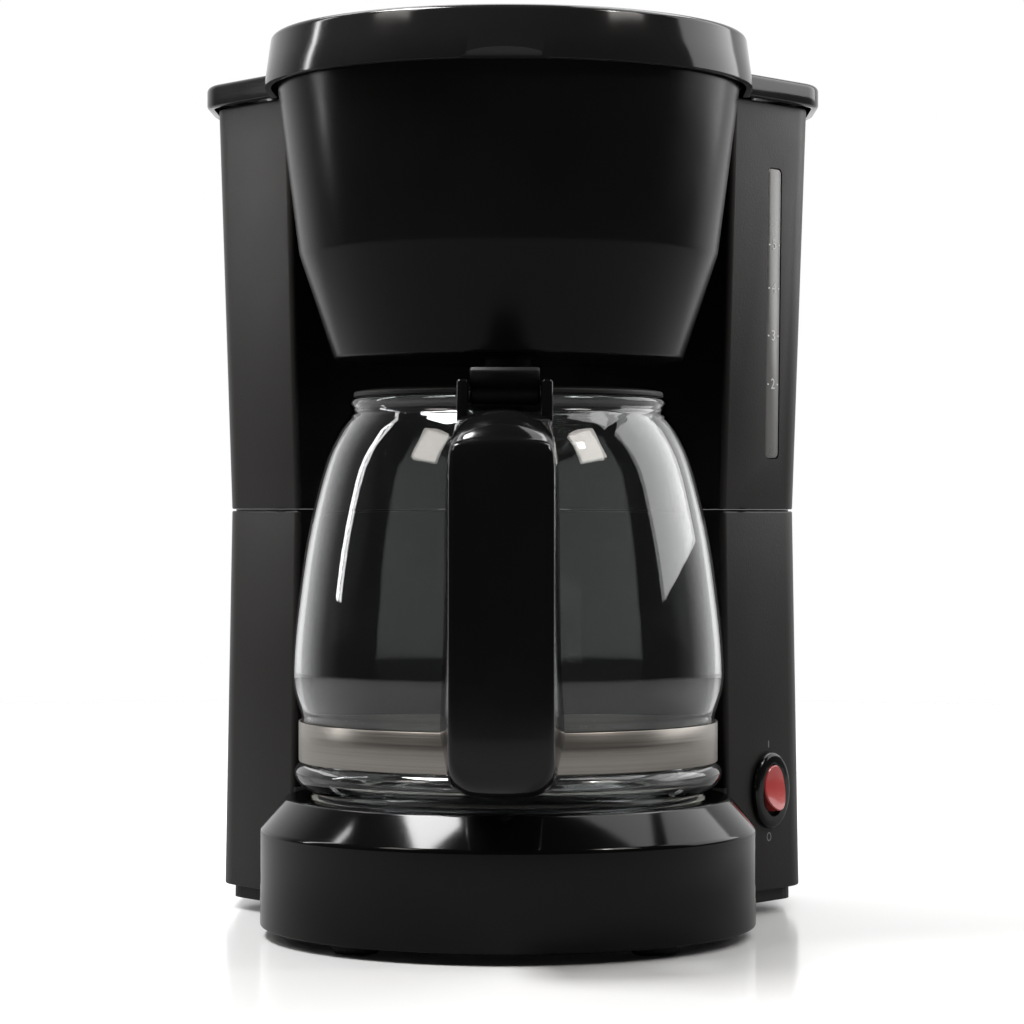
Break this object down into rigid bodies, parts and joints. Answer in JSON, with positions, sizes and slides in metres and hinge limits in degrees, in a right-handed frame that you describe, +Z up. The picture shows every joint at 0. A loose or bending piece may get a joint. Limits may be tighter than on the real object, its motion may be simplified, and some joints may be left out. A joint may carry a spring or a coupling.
{
  "type": "drip coffee maker",
  "caption": "Black drip coffee maker with a side water gauge, a hinged top lid, a lift-out filter basket and a glass carafe standing on a warming plate.",
  "frame": {"origin": "centre of the footprint box, on the surface the feet stand on", "axes": "+Z up, -Y towards the carafe and the user, +X to the user's right, the side with the switch and the water gauge"},
  "size_m": [0.1924, 0.2318, 0.2638],
  "materials": {
    "satin_black": "satin moulded",
    "gloss_black": "polished",
    "steel": "brushed",
    "glass": "clear",
    "window": "translucent",
    "red": "translucent red",
    "plate": "non-stick coating",
    "silicone": "silicone",
    "rubber": "matt",
    "aluminium": "plain",
    "brass": "plain",
    "white_insulation": "matt",
    "black_insulation": "matt"
  },
  "bodies": {
    "machine": {"base_housing": "satin_black", "bottom_cover": "satin_black", "brew_head": "gloss_black", "check_valve_body": "satin_black", "clamp_bar": "steel", "clamp_nut": "steel", "cold_hose": "silicone", "cord_gland": "rubber", "cover_screw_1": "steel", "cover_screw_2": "steel", "cover_screw_3": "steel", "cover_screw_4": "steel", "foot_front_left": "rubber", "foot_front_right": "rubber", "foot_rear_left": "rubber", "foot_rear_right": "rubber", "heater_tube": "aluminium", "heating_element": "steel", "hot_hose": "silicone", "lid_pin_left": "steel", "lid_pin_right": "steel", "outlet_nut": "satin_black", "plate_gasket": "silicone", "reservoir_housing": "satin_black", "riser_grommet": "rubber", "riser_tube": "aluminium", "spout_elbow": "satin_black", "switch_body": "gloss_black", "terminal_1": "brass", "terminal_2": "brass", "terminal_3": "brass", "terminal_4": "brass", "thermal_fuse": "white_insulation", "thermostat": "aluminium", "top_deck": "gloss_black", "warming_plate": "plate", "water_window": "window", "wire_live": "black_insulation", "wire_neutral": "white_insulation", "wire_to_element": "white_insulation", "wire_to_thermostat": "black_insulation"},
    "lid": {"top_lid": "gloss_black", "lid_spreader": "satin_black"},
    "basket": {"brew_basket": "satin_black", "valve_cage": "satin_black", "valve_spring": "steel"},
    "drip_valve": {"valve_plunger": "satin_black", "valve_seal": "silicone"},
    "carafe": {"carafe_glass": "glass", "carafe_band": "steel", "band_screw": "steel", "carafe_handle": "gloss_black", "carafe_lid_pin": "steel"},
    "carafe_lid": {"carafe_lid": "satin_black"},
    "rocker": {"switch_rocker": "red"},
    "check_ball": {"check_ball": "steel"}
  },
  "joints": [
    {"name": "lid_hinge", "type": "hinge", "parent": "machine", "child": "lid", "pos_m": [0, 0.1066, 0.2602], "axis": [-1, 0, 0], "range_deg": [0, 95]},
    {"name": "carafe_slide", "type": "slide", "parent": "machine", "child": "carafe", "axis": [0, -1, 0], "range_m": [0, 0.21]},
    {"name": "carafe_lid_hinge", "type": "hinge", "parent": "carafe", "child": "carafe_lid", "pos_m": [0, -0.0629, 0.157], "axis": [1, 0, 0], "range_deg": [0, 3.5]},
    {"name": "basket_lift", "type": "slide", "parent": "machine", "child": "basket", "axis": [0, 0, 1], "range_m": [0, 0.005]},
    {"name": "drip_valve_slide", "type": "slide", "parent": "basket", "child": "drip_valve", "axis": [0, 0, -1], "range_m": [0, 0.004], "deforming": ["valve_spring"]},
    {"name": "power_switch", "type": "hinge", "parent": "machine", "child": "rocker", "pos_m": [0.07739, 0.03971, 0.03828], "axis": [0.6216, 0.7833, 0], "range_deg": [0, 14]},
    {"name": "check_valve", "type": "slide", "parent": "machine", "child": "check_ball", "axis": [0, 0, 1], "range_m": [0, 0.002]}
  ],
  "couplings": [
    {"joint": "drip_valve_slide", "follows": "carafe_slide", "ratio": 0.019}
  ]
}
